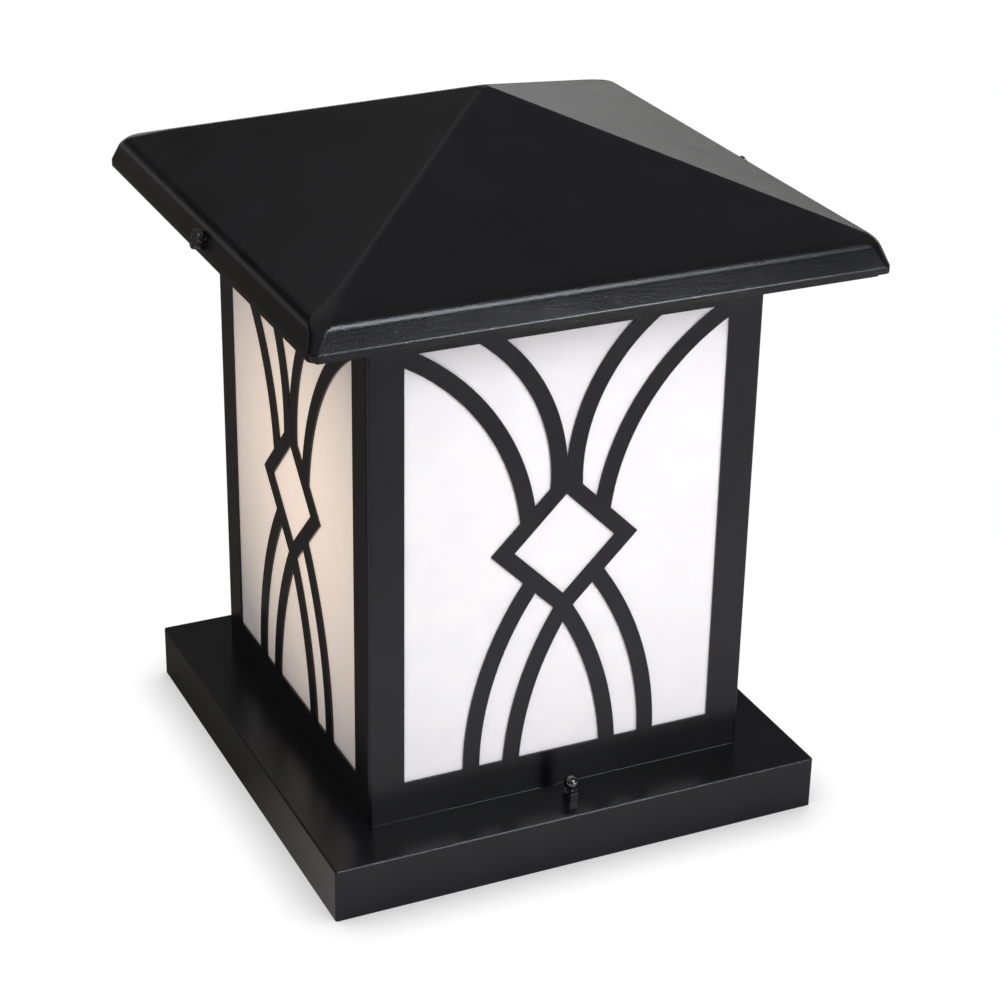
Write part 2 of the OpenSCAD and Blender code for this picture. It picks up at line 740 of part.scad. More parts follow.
// Roof rings: each is [distance of the flat sides from the axis, height, plan radius]
bend_steps = 7;
corner_steps = 6;
lip_angle = asin(-skirt_dir[0]);
lip_centre = [roof_w / 2 - lip_bend_r, lip_top[1] - lip_bend_r * tan(lip_angle / 2)];
skirt_angle = lip_angle;
face_angle = lip_angle + skirt_turn;
function corner_radius(x) = let (
    run = min(1, max(0, (eave[0] - x) / hip_blend)),
    rise = min(1, max(0, (roof_w / 2 - x) / skirt_lean)))
        lip_corner_r + (roof_corner_r - lip_corner_r) * rise
            - (roof_corner_r - hip_r) * (3 * run * run - 2 * run * run * run);
function on_arc(centre, r, a) = [centre[0] + r * cos(a), centre[1] + r * sin(a)];
function roof_profile(inset) = concat(
    [[roof_w / 2 - inset, lip_z]],
    [for (k = [0:bend_steps]) on_arc(lip_centre, lip_bend_r - inset, lip_angle * k / bend_steps)],
    [for (k = [0:bend_steps]) on_arc(eave_centre, eave_bend_r - inset,
        skirt_angle + (face_angle - skirt_angle) * k / bend_steps)],
    [for (back = [6, 12, 18, hip_blend + 4]) let (x = eave[0] - back)
        [x, apex_z - x * roof_slope - inset * norm([1, roof_slope])]]);
function tip_profile(inset) = let (drop = inset * norm([1, roof_slope]))
    [[tip_r + 2, apex_z - (tip_r + 2) * roof_slope - drop],
     [tip_r, apex_z - (tip_r + 0.15) * roof_slope - drop - 0.15]];
function roof_ring(x, z, r) = [for (q = [0:3], k = [0:corner_steps])
    let (a = 90 * q + 90 * k / corner_steps, side_x = (q == 0 || q == 3) ? 1 : -1, side_y = q < 2 ? 1 : -1)
        [side_x * (x - r) + r * cos(a), side_y * (x - r) + r * sin(a), z]];
function roof_rings(inset) = [for (p = concat(roof_profile(inset), tip_profile(inset)))
    roof_ring(p[0], p[1], max(0.4, corner_radius(p[0] + inset) - inset))];

// Solid between two stacks of rings: up the outside, over the tip and down the inside
module ring_shell(outer, inner) {
    n = len(outer[0]);
    rings = len(outer);
    flip_inner = [for (i = [len(inner) - 1:-1:0]) inner[i]];
    points = concat([for (ring = outer) each ring], [for (ring = flip_inner) each ring]);
    function wall(i, j) = [for (k = [0:n - 1]) let (a = i * n + k, b = i * n + (k + 1) % n)
        each [[a, a - i * n + j * n, b], [b, a - i * n + j * n, b - i * n + j * n]]];
    outer_wall = [for (i = [0:rings - 2]) each wall(i, i + 1)];
    inner_wall = [for (i = [rings:2 * rings - 2]) each wall(i, i + 1)];
    foot = wall(2 * rings - 1, 0);
    outer_cap = [for (k = [1:n - 2]) [(rings - 1) * n, (rings - 1) * n + k + 1, (rings - 1) * n + k]];
    inner_cap = [for (k = [1:n - 2]) [rings * n, rings * n + k, rings * n + k + 1]];
    polyhedron(points = points, faces = concat(outer_wall, inner_wall, foot, outer_cap, inner_cap));
}

// Places a piece on the left skirt with +Z along the screw, out of the skirt
module on_skirt() {
    translate([-screw_seat[0], 0, screw_seat[1]]) rotate([0, -90 + screw_tilt, 0]) children();
}

// Roof cap: one pressed sheet with lip, leaning skirt and four hipped faces
clinch_hole_r = clinch_r - 0.4;
module roof_cap() color(black) {
    difference() {
        ring_shell(roof_rings(0), roof_rings(sheet_t));
        for (flip = [0, 1]) mirror([flip, 0, 0]) on_skirt()
            translate([0, 0, -2 * sheet_t]) cylinder(r = clinch_hole_r, h = 3 * sheet_t);
    }
}

// Clinch nuts pressed into the skirt from inside
module clinch_nuts() color(zinc) {
    length = sheet_t + clinch_t;
    for (flip = [0, 1]) mirror([flip, 0, 0]) on_skirt() translate([0, 0, -length]) difference() {
        union() {
            cylinder(r = clinch_r, h = clinch_t);
            cylinder(r = clinch_hole_r, h = length);
        }
        translate([0, 0, -fuse]) cylinder(r = screw_r, h = length + 2 * fuse);
    }
}

// Knurled thumbscrew, with a chamfered tip that bears on the tray's flange
module thumbscrew() {
    cylinder(r = collar_r, h = collar_t);
    translate([0, 0, collar_t]) linear_extrude(knurl_t)
        polygon([for (k = [0:2 * knurl_ridges - 1])
            let (a = 180 * k / knurl_ridges)
                (knurl_r - (k % 2) * knurl_groove) * [cos(a), sin(a)]]);
    translate([0, 0, -screw_reach]) {
        cylinder(r1 = shank_r - shank_chamfer, r2 = shank_r, h = shank_chamfer);
        translate([0, 0, shank_chamfer])
            cylinder(r = shank_r, h = screw_reach - shank_chamfer + collar_t / 2);
    }
}

module left_thumbscrew() color("#141416") on_skirt() thumbscrew();

module right_thumbscrew() color("#141416") mirror([1, 0, 0]) on_skirt() thumbscrew();

base_pan();
wire_bushing();
mounting_bracket();
mounting_studs();
stud_locknuts();
front_cap_nut();
rear_cap_nut();
ground_screw();
ground_lead();
front_panel();
rear_panel();
left_panel();
right_panel();
front_left_angle();
front_right_angle();
rear_left_angle();
rear_right_angle();
front_diffuser();
rear_diffuser();
left_diffuser();
right_diffuser();
diffuser_clips();
eave_tray();
lamp_bracket();
bracket_screws();
nipple();
nipple_nut();
lampholder();
screw_shell();
centre_contact();
bulb_cap();
bulb_glass();
line_lead();
neutral_lead();
roof_cap();
clinch_nuts();
left_thumbscrew();
right_thumbscrew();
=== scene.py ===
import math

import bpy
from mathutils import Matrix, Vector


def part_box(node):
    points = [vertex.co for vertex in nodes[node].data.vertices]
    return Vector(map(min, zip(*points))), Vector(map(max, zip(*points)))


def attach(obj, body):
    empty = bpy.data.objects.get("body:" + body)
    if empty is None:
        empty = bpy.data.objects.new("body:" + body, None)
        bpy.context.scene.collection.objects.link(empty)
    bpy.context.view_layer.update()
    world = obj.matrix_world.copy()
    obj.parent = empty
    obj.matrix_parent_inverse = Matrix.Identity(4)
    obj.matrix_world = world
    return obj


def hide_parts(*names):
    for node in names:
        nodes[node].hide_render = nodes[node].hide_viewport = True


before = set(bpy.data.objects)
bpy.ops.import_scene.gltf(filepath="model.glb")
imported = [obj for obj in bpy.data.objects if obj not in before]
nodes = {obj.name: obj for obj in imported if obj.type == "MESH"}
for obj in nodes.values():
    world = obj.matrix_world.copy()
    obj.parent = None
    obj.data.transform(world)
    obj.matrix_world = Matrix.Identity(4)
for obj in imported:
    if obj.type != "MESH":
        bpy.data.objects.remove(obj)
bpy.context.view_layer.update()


# Base pan. One square of 1.5 mm steel sheet drawn into a shallow box that is open below, with
# small rolled bends along its top and its welded, ground corners. It is powder coated black,
# and the two cap nuts clamp it down over the mounting bracket.

def alone(piece):
    """Makes this piece the only one selected, and the active one."""
    bpy.ops.object.select_all(action="DESELECT")
    piece.select_set(True)
    bpy.context.view_layer.objects.active = piece


def settle(piece, name):
    """Names a new piece and puts its place, turn and size into its mesh."""
    piece.name = piece.data.name = name
    alone(piece)
    bpy.ops.object.transform_apply(location=True, rotation=True, scale=True)
    return piece


def work(piece, kind, wanted, operator, **options):
    """Runs one edit-mode operator on the faces, edges or vertices that wanted() picks by place."""
    alone(piece)
    bpy.ops.object.mode_set(mode="EDIT")
    bpy.ops.mesh.select_mode(type=kind)
    bpy.ops.mesh.select_all(action="DESELECT")
    bpy.ops.object.mode_set(mode="OBJECT")
    mesh = piece.data
    if kind == "FACE":
        for face in mesh.polygons:
            face.select = wanted(face.center, face.normal)
    elif kind == "EDGE":
        for edge in mesh.edges:
            a, b = (mesh.vertices[i].co for i in edge.vertices)
            edge.select = wanted((a + b) / 2, b - a)
    else:
        for vertex in mesh.vertices:
            vertex.select = wanted(vertex.co, vertex.normal)
    bpy.ops.object.mode_set(mode="EDIT")
    operator(**options)
    bpy.ops.object.mode_set(mode="OBJECT")


def finish_with(piece, kind, **settings):
    """Adds one modifier and applies it."""
    alone(piece)
    modifier = piece.modifiers.new("made", kind)
    for key, value in settings.items():
        setattr(modifier, key, value)
    bpy.ops.object.modifier_apply(modifier=modifier.name)


def ease(piece, width, degrees=50):
    """Breaks the sharp edges of a piece by a small bevel."""
    finish_with(piece, "BEVEL", width=width, segments=2, limit_method="ANGLE",
                angle_limit=math.radians(degrees))


def smooth(piece, degrees=35):
    """Shades the bends smooth and keeps the flats flat."""
    alone(piece)
    bpy.ops.object.shade_smooth_by_angle(angle=math.radians(degrees))
    finish_with(piece, "WEIGHTED_NORMAL", keep_sharp=True)


def drill(piece, x, y, z, radius, depth=0.01, sides=48):
    """Drills an upright round hole."""
    bpy.ops.mesh.primitive_cylinder_add(vertices=sides, radius=radius, depth=depth,
                                        location=(x, y, z))
    bit = settle(bpy.context.object, "bit")
    finish_with(piece, "BOOLEAN", operation="DIFFERENCE", object=bit, solver="EXACT")
    bpy.data.objects.remove(bit)


def linear(hex_colour):
    """An sRGB hex colour as the linear colour that a shader takes."""
    parts = [int(hex_colour[i:i + 2], 16) / 255 for i in (1, 3, 5)]
    return [c / 12.92 if c <= 0.04045 else ((c + 0.055) / 1.055) ** 2.4 for c in parts] + [1]


def add(finish, kind, inputs=None, **settings):
    """Adds one node: settings are its properties, inputs its values or the outputs that feed it."""
    made = finish.node_tree.nodes.new(kind)
    for key, value in settings.items():
        setattr(made, key, value)
    for key, value in (inputs or {}).items():
        if isinstance(value, bpy.types.NodeSocket):
            finish.node_tree.links.new(value, made.inputs[key])
        else:
            made.inputs[key].default_value = value
    return made


def new_finish(name):
    """An empty finish, and its Object coordinates in millimetres."""
    mm_per_metre = 1000
    finish = bpy.data.materials.new(name)
    finish.use_nodes = True
    finish.node_tree.nodes.clear()
    place = add(finish, "ShaderNodeTexCoord")
    in_mm = add(finish, "ShaderNodeMapping", {"Vector": place.outputs["Object"],
                                              "Scale": (mm_per_metre,) * 3})
    return finish, in_mm.outputs[0]


def wear(piece, finish):
    """Gives a piece this finish all over."""
    piece.data.materials.clear()
    piece.data.materials.append(finish)


def give(piece, body, slot, finish, *replaced):
    """Finishes a new piece: its material, the body it rides on and the nodes that it stands for."""
    wear(piece, finish)
    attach(piece, body)
    if replaced:
        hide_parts(*replaced)


# Satin black polyester powder coat: sprayed dry and baked, it flows out into a fine orange peel.
# The peel is some 0.8 mm across, and its specks show in the highlights. Faint clouds of some
# 30 mm show in its gloss.
powder_coat, coat_mm = new_finish("satin black powder coat")
peel = add(powder_coat, "ShaderNodeTexNoise", {
    "Vector": coat_mm, "Scale": 1.25, "Detail": 1.0, "Roughness": 0.5})
clouds = add(powder_coat, "ShaderNodeTexNoise", {"Vector": coat_mm, "Scale": 0.03, "Detail": 3.0})
cloud_share = add(powder_coat, "ShaderNodeMapRange", {
    "Value": clouds.outputs[0], "From Min": 0.35, "From Max": 0.65})
coat_colour = add(powder_coat, "ShaderNodeMix", {
    "Factor": cloud_share.outputs[0], "A": linear("#0d0d11"), "B": linear("#111116")},
    data_type="RGBA")
coat_gloss = add(powder_coat, "ShaderNodeMapRange", {
    "Value": cloud_share.outputs[0], "To Min": 0.19, "To Max": 0.23})
peel_bump = add(powder_coat, "ShaderNodeBump", {
    "Height": peel.outputs[0], "Strength": 1.0, "Distance": 0.0001})
coat = add(powder_coat, "ShaderNodeBsdfPrincipled", {
    "Base Color": coat_colour.outputs["Result"], "Roughness": coat_gloss.outputs[0],
    "Normal": peel_bump.outputs[0], "Specular IOR Level": 0.43})
add(powder_coat, "ShaderNodeOutputMaterial", {"Surface": coat.outputs[0]})

low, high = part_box("base_pan")
pan_w, pan_h = high.x - low.x, high.z - low.z
pan_bend, pan_sheet, sheet_break = 0.0013, 0.0015, 0.0002
touch, upright = 1e-5, 0.01  # as near as the same place, and the least rise of an upright edge
stud_hole, wire_hole, screw_hole, screw_x = 0.00275, 0.011, 0.002, 0.051
bpy.ops.mesh.primitive_cube_add(size=1, location=(0, 0, pan_h / 2), scale=(pan_w, pan_w, pan_h))
base_pan = settle(bpy.context.object, "pressed_base_pan")
work(base_pan, "EDGE", lambda place, run: place.z > pan_h - touch or abs(run.z) > upright,
     bpy.ops.mesh.bevel, offset=pan_bend, segments=6, profile=0.5)
work(base_pan, "FACE", lambda place, normal: normal.z < -0.9, bpy.ops.mesh.delete, type="FACE")
finish_with(base_pan, "SOLIDIFY", thickness=pan_sheet, offset=-1, use_even_offset=True)
stud_y = (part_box("front_cap_nut")[0].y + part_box("front_cap_nut")[1].y) / 2
for y in (stud_y, -stud_y):
    drill(base_pan, 0, y, pan_h, stud_hole)
drill(base_pan, 0, 0, pan_h, wire_hole)
for x in (-screw_x, screw_x):
    drill(base_pan, x, 0, pan_h, screw_hole)
ease(base_pan, sheet_break)
smooth(base_pan)
give(base_pan, "lantern", "black_powder_coat", powder_coat, "base_pan")


# Wire bushing. A moulded rubber grommet pressed into the base pan's top, which keeps the sheet's
# edge off the leads.

def plain_finish(name, first, second, metallic, rough_low, rough_high, grain):
    """A finish of two close shades in grains of so many millimetres, which also vary its gloss."""
    finish, in_mm = new_finish(name)
    pattern = add(finish, "ShaderNodeTexNoise", {
        "Vector": in_mm, "Scale": 1 / grain, "Detail": 3.0})
    colour = add(finish, "ShaderNodeMix", {
        "Factor": pattern.outputs[0], "A": linear(first), "B": linear(second)}, data_type="RGBA")
    gloss = add(finish, "ShaderNodeMapRange", {
        "Value": pattern.outputs[0], "From Min": 0.3, "From Max": 0.7,
        "To Min": rough_low, "To Max": rough_high})
    shader = add(finish, "ShaderNodeBsdfPrincipled", {
        "Base Color": colour.outputs["Result"], "Roughness": gloss.outputs[0],
        "Metallic": metallic})
    add(finish, "ShaderNodeOutputMaterial", {"Surface": shader.outputs[0]})
    return finish


# Moulded rubber: dull and near black, slightly mottled by the mould.
rubber = plain_finish("moulded black rubber", "#121212", "#191919", 0, 0.55, 0.7, 2)
wear(nodes["wire_bushing"], rubber)


# Mounting bracket, studs and lock nuts. A slotted flat bar bolts to the pier, and carries two
# threaded studs that are locked to it with thin nuts. All of it is zinc plated.

# Bright zinc plate: silvery with a faint blue cast, and cloudy where the plating thins.
zinc = plain_finish("zinc-plated steel", "#a9acb0", "#c2c5ca", 1, 0.28, 0.42, 5)
for name in ("mounting_bracket", "mounting_studs", "stud_locknuts"):
    wear(nodes[name], zinc)


# Ground screw and ground lead. A green dyed screw in the bracket holds the fixture's own green
# lead, which ends in the base pan.

# Green dyed zinc plate, and green PVC: plain code colours, the screw with a metal's sheen.
green_steel = plain_finish("green dyed steel", "#2a7440", "#34804a", 0.6, 0.3, 0.45, 2)
green_pvc = plain_finish("green lead insulation", "#2f7a3c", "#37894a", 0, 0.35, 0.45, 2)
wear(nodes["ground_screw"], green_steel)
wear(nodes["ground_lead"], green_pvc)


# Corner angles. Four bent steel strips stand inside the body's corners; the sides are welded to
# them before the body is coated.

# Black primer under the powder's overspray: flat black and a little uneven.
primer = plain_finish("black primer", "#1c1c1e", "#242426", 0, 0.5, 0.62, 3)
for corner in ("front_left", "front_right", "rear_left", "rear_right"):
    wear(nodes[corner + "_angle"], primer)


# Laser-cut sides. Each is one 1.2 mm sheet with its window cut round four swept lower bars, four
# swept upper bars and a diamond; front and rear also carry the body's four corner bends.
# They are powder coated with the rest of the body, which stands on a slightly flared foot.

def merged_copy(node, name):
    """A copy of a CAD node with its triangles merged into whole faces."""
    piece = nodes[node].copy()
    piece.data = nodes[node].data.copy()
    piece.parent = None
    for key in list(piece.keys()):
        del piece[key]
    bpy.context.scene.collection.objects.link(piece)
    piece.name = piece.data.name = name
    work(piece, "VERT", lambda place, normal: True, bpy.ops.mesh.remove_doubles, threshold=1e-6)
    work(piece, "FACE", lambda place, normal: True, bpy.ops.mesh.dissolve_limited,
         angle_limit=math.radians(0.2))
    return piece


foot_h, foot_flare, cut_break, facing_out = 0.0006, 0.0002, 0.00018, 0.03
body_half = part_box("front_panel")[1].x
foot_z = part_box("front_panel")[0].z
flare = 1 + foot_flare / body_half
for side in ("front", "rear", "left", "right"):
    panel = merged_copy(side + "_panel", side + "_fretwork")
    work(panel, "FACE", lambda place, normal: True, bpy.ops.mesh.bisect,
         plane_co=(0, 0, foot_z + foot_h), plane_no=(0, 0, 1))
    work(panel, "VERT", lambda place, normal: place.z < foot_z + touch and (
         max(abs(place.x), abs(place.y)) > body_half - touch
         or normal.dot(Vector((place.x, place.y, 0))) > facing_out),
         bpy.ops.transform.resize, value=(flare, flare, 1), center_override=(0, 0, 0))
    ease(panel, cut_break)
    smooth(panel)
    give(panel, "lantern", "black_powder_coat", powder_coat, side + "_panel")


# Opal panes. Four 3 mm acrylic sheets, sawn square, that stand in zinc-plated spring clips behind
# the windows and spread the lamp's light.

# Cast opal acrylic: white all through. The lamp's warm glow is painted on it as emission, strongest
# near a point level with the lamp and fading with distance; on the front pane, which stands in full
# light, the painted glow is cut to about an eighth.
opal, opal_mm = new_finish("opal acrylic with painted lamp glow")
haze = add(opal, "ShaderNodeTexNoise", {"Vector": opal_mm, "Scale": 0.05, "Detail": 2.0})
haze_share = add(opal, "ShaderNodeMapRange", {
    "Value": haze.outputs[0], "From Min": 0.3, "From Max": 0.7})
opal_white = add(opal, "ShaderNodeMix", {
    "Factor": haze_share.outputs[0], "A": linear("#efeef1"), "B": linear("#f4f2f3")},
    data_type="RGBA")
# Painted lamp glow: emission on the pane that fades with distance from a point near the lamp.
from_lamp = add(opal, "ShaderNodeVectorMath", {0: opal_mm, 1: (0, -10, 185)}, operation="DISTANCE")
painted_glow_falloff = add(opal, "ShaderNodeMapRange", {
    "Value": from_lamp.outputs["Value"], "From Min": 104.0, "From Max": 182.0,
    "To Min": 0.53, "To Max": 0.0})
opal_place = add(opal, "ShaderNodeSeparateXYZ", {0: opal_mm})
# The painted glow is cut to 0.12 on the front pane, chosen by its place.
painted_glow_front_share = add(opal, "ShaderNodeMapRange", {
    "Value": opal_place.outputs["Y"], "From Min": -102.0, "From Max": -101.0,
    "To Min": 0.12, "To Max": 1.0})
painted_pane_glow = add(opal, "ShaderNodeMath", {
    0: painted_glow_falloff.outputs[0], 1: painted_glow_front_share.outputs[0]}, operation="MULTIPLY")
# The acrylic carries the painted glow as a warm emission.
acrylic = add(opal, "ShaderNodeBsdfPrincipled", {
    "Base Color": opal_white.outputs["Result"], "Roughness": 0.35, "IOR": 1.49,
    "Subsurface Weight": 0.6, "Subsurface Radius": (1, 1, 1), "Subsurface Scale": 0.004,
    "Emission Color": linear("#ffe3c8"), "Emission Strength": painted_pane_glow.outputs[0]})
add(opal, "ShaderNodeOutputMaterial", {"Surface": acrylic.outputs[0]})

pane_edge = 0.0004
for side in ("front", "rear", "left", "right"):
    low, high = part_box(side + "_diffuser")
    bpy.ops.mesh.primitive_cube_add(size=1, location=(low + high) / 2, scale=high - low)
    pane = settle(bpy.context.object, side + "_opal_pane")
    work(pane, "EDGE", lambda place, run: True, bpy.ops.mesh.bevel, offset=pane_edge, segments=2)
    smooth(pane)
    give(pane, "lantern", "opal_glass", opal, side + "_diffuser")
wear(nodes["diffuser_clips"], zinc)


# Eave tray. A sheet-steel square with the re-lamping opening cut out, and flanges turned up along
# its sides that the roof's thumbscrews bear on. Powder coated with the body.
tray = merged_copy("eave_tray", "folded_eave_tray")
ease(tray, sheet_break)
smooth(tray)
give(tray, "lantern", "black_powder_coat", powder_coat, "eave_tray")


# Lamp bracket. A zinc-plated strap held by two screws, with a threaded nipple and its nut that
# carry the lampholder.
for name in ("lamp_bracket", "bracket_screws", "nipple", "nipple_nut"):
    wear(nodes[name], zinc)


# Lampholder. A pressed, fired and glazed porcelain body with a stamped brass screw shell and
# centre contact.

# Glazed porcelain: warm white under a hard, clear gloss. Stamped brass: yellow, lightly dulled.
porcelain = plain_finish("glazed porcelain", "#e6e1d6", "#efebe2", 0, 0.12, 0.2, 7)
brass = plain_finish("stamped brass", "#b79a58", "#c9b06c", 1, 0.25, 0.4, 2.5)
wear(nodes["lampholder"], porcelain)
wear(nodes["screw_shell"], brass)
wear(nodes["centre_contact"], brass)


# Lamp. A blown bulb, coated white inside, in a nickel-plated screw cap; it screws into the
# lampholder's shell.

# Nickel plate: silver with a yellow cast. Coated glass: white and evenly satin.
nickel = plain_finish("nickel-plated lamp cap", "#b9b7b0", "#cfcdc6", 1, 0.2, 0.35, 2.5)
lamp_white = plain_finish("coated lamp glass", "#f1efe9", "#f7f5f0", 0, 0.25, 0.32, 10)
wear(nodes["bulb_cap"], nickel)
wear(nodes["bulb_glass"], lamp_white)


# Leads. Two stranded leads in extruded PVC run from the base pan up to the lampholder.

# Extruded PVC: smooth, with the slight sheen of plastic.
black_pvc = plain_finish("black lead insulation", "#161617", "#1d1d1e", 0, 0.35, 0.45, 2)
white_pvc = plain_finish("white lead insulation", "#dedbd3", "#e9e6df", 0, 0.35, 0.45, 2)
wear(nodes["line_lead"], black_pvc)
wear(nodes["neutral_lead"], white_pvc)


# Roof cap. One sheet pressed to a shallow hipped pyramid, with a leaning skirt and a narrow
# upright lip; the bends are rolled and the corners drawn round. Powder coated black, with two
# zinc-plated clinch nuts pressed in from behind for the thumbscrews.
roof = merged_copy("roof_cap", "pressed_roof_cap")
hip_roll, hip_least, off_diagonal = 0.006, 0.08, 0.02
work(roof, "EDGE", lambda place, run: run.length > hip_least
     and abs(abs(run.x) - abs(run.y)) < off_diagonal * run.length,
     bpy.ops.mesh.bevel, offset=hip_roll, segments=5, clamp_overlap=True)
smooth(roof)
give(roof, "roof", "black_powder_coat", powder_coat, "roof_cap")
wear(nodes["clinch_nuts"], zinc)


# Thumbscrews. Turned from bar with a knurled head, a dished end and a chamfered rim, and then
# blackened. They run in the clinch nuts and press on the tray's flanges.

# Black plating on turned steel: smooth and glossy, so it takes sharp highlights, which faint
# marks some 0.7 mm across break up.
black_plate, plate_mm = new_finish("glossy black plated steel")
marks = add(black_plate, "ShaderNodeTexNoise", {"Vector": plate_mm, "Scale": 1.5, "Detail": 3.0})
plate_colour = add(black_plate, "ShaderNodeMix", {
    "Factor": marks.outputs[0], "A": linear("#08080a"), "B": linear("#121214")}, data_type="RGBA")
plate_gloss = add(black_plate, "ShaderNodeMapRange", {
    "Value": marks.outputs[0], "From Min": 0.3, "From Max": 0.7, "To Min": 0.04, "To Max": 0.08})
plate_bump = add(black_plate, "ShaderNodeBump", {
    "Height": marks.outputs[0], "Strength": 0.15, "Distance": 0.0001})
plate = add(black_plate, "ShaderNodeBsdfPrincipled", {
    "Base Color": plate_colour.outputs["Result"], "Roughness": plate_gloss.outputs[0],
    "Normal": plate_bump.outputs[0], "IOR": 2.0})
add(black_plate, "ShaderNodeOutputMaterial", {"Surface": plate.outputs[0]})

skirt_lean, skirt_h = 4, 12.9
skirt_tilt = math.atan(skirt_lean / skirt_h)
rim_chamfer, rim_w, dish_slope, dish_deep, rim_break = 0.0003, 0.0009, 0.0004, 0.0005, 0.00012
knurl_from, on_axis, along = 0.004, 0.001, 0.98
for side, outward in (("left", -1), ("right", 1)):
    screw = merged_copy(side + "_thumbscrew", side + "_knurled_thumbscrew")
    axis = Vector((outward * math.cos(skirt_tilt), 0, math.sin(skirt_tilt)))
    reach = max(vertex.co.dot(axis) for vertex in screw.data.vertices)
    end = [vertex.co for vertex in screw.data.vertices if vertex.co.dot(axis) > reach - touch]
    middle = sum(end, Vector()) / len(end)
    work(screw, "EDGE", lambda place, run: place.dot(axis) > reach - touch
         and (place - middle).length > knurl_from,
         bpy.ops.mesh.bevel, offset=rim_chamfer, segments=2)
    for step in ({"thickness": rim_w}, {"thickness": dish_slope, "depth": -dish_deep}):
        work(screw, "FACE", lambda place, normal: normal.dot(axis) > along
             and (place - middle).length < on_axis, bpy.ops.mesh.inset, **step)
    ease(screw, rim_break, 40)
    smooth(screw, 25)
    give(screw, side + "_screw", "black_hardware", black_plate, side + "_thumbscrew")


# Cap nuts. Ball-topped M5 nuts, turned from bar and blackened, that clamp the base pan to the
# studs. The hexagon's top rim is chamfered.
hex_h, hex_chamfer, hex_rim_from = 0.005, 0.00045, 0.0035
hex_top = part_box("front_cap_nut")[0].z + hex_h
for node, middle_y in (("front_cap_nut", stud_y), ("rear_cap_nut", -stud_y)):
    nut = merged_copy(node, node.replace("cap_nut", "ball_cap_nut"))
    work(nut, "EDGE", lambda place, run: abs(place.z - hex_top) < touch and abs(run.z) < touch
         and math.hypot(place.x, place.y - middle_y) > hex_rim_from,
         bpy.ops.mesh.bevel, offset=hex_chamfer, segments=2)
    ease(nut, cut_break, 40)
    smooth(nut, 25)
    give(nut, node.replace("_cap_nut", "_nut"), "black_hardware", black_plate, node)


# Studio: a white paper floor and a pale backdrop, a dark room above it, and the lamps.

# Matt paper. The camera sees it white, with a painted soft contact shade beside the object, where
# the paper's glow dims by the object's nearness. Glossy rays see a painted pool of light on it,
# brightest some 0.3 m in front, with painted shade behind and under the object, warm where dim and
# cool where bright, because a satin coat would turn grey over a floor that is white all round.
paper, paper_mm = new_finish("white paper floor")
ray = add(paper, "ShaderNodeLightPath")
straight = add(paper, "ShaderNodeMath", {
    0: ray.outputs["Is Camera Ray"], 1: ray.outputs["Is Transmission Ray"]}, operation="MAXIMUM")
# Painted light for glossy rays: a pool on the paper, dark behind and under the object, brightest
# some 0.26 to 0.3 m in front, fading further out.
forward_mm = add(paper, "ShaderNodeVectorMath", {0: paper_mm, 1: (-0.1, -1, 0)},
                 operation="DOT_PRODUCT")
painted_light_rise = add(paper, "ShaderNodeMapRange", {
    "Value": forward_mm.outputs["Value"], "From Min": 0.0, "From Max": 260.0,
    "To Min": 0.09, "To Max": 0.9})
painted_light_falloff = add(paper, "ShaderNodeMapRange", {
    "Value": forward_mm.outputs["Value"], "From Min": 300.0, "From Max": 720.0,
    "To Min": 1.0, "To Max": 0.45})
painted_floor_light = add(paper, "ShaderNodeMath", {
    0: painted_light_rise.outputs[0], 1: painted_light_falloff.outputs[0]}, operation="MULTIPLY")
glossy_painted_light = add(paper, "ShaderNodeMath", {
    0: ray.outputs["Is Glossy Ray"], 1: painted_floor_light.outputs[0]}, operation="MULTIPLY")
seen = add(paper, "ShaderNodeMath", {
    0: straight.outputs[0], 1: glossy_painted_light.outputs[0]}, operation="MAXIMUM")
# Painted contact shade: the paper's glow dims where the object is near.
nearness = add(paper, "ShaderNodeAmbientOcclusion", {"Distance": 0.035}, samples=12)
contact = add(paper, "ShaderNodeMapRange", {
    "Value": nearness.outputs["AO"], "From Min": 0.5, "From Max": 0.93,
    "To Min": 0.58, "To Max": 1.0})
lift = add(paper, "ShaderNodeMath", {
    0: seen.outputs[0], 1: contact.outputs[0]}, operation="MULTIPLY")
# The painted light's tint: warm where it is dim, cool where it is bright.
painted_light_tint = add(paper, "ShaderNodeMix", {
    "Factor": painted_floor_light.outputs[0], "A": linear("#fff2e4"), "B": linear("#f2f2ff")},
    data_type="RGBA")
paper_glow = add(paper, "ShaderNodeMix", {
    "Factor": ray.outputs["Is Glossy Ray"], "A": (1, 1, 1, 1),
    "B": painted_light_tint.outputs["Result"]}, data_type="RGBA")
looked_at = add(paper, "ShaderNodeMath", {
    0: straight.outputs[0], 1: ray.outputs["Is Glossy Ray"]}, operation="MAXIMUM")
paper_tone = add(paper, "ShaderNodeMix", {
    "Factor": looked_at.outputs[0], "A": linear("#efefef"), "B": linear("#3a3a3a")},
    data_type="RGBA")
paper_shader = add(paper, "ShaderNodeBsdfPrincipled", {
    "Base Color": paper_tone.outputs["Result"], "Roughness": 0.9, "Specular IOR Level": 0.0,
    "Emission Color": paper_glow.outputs["Result"], "Emission Strength": lift.outputs[0]})
add(paper, "ShaderNodeOutputMaterial", {"Surface": paper_shader.outputs[0]})
bpy.ops.mesh.primitive_plane_add(size=24, location=(0, 0, 0))
floor = bpy.context.object
floor.name = "studio_floor"
wear(floor, paper)

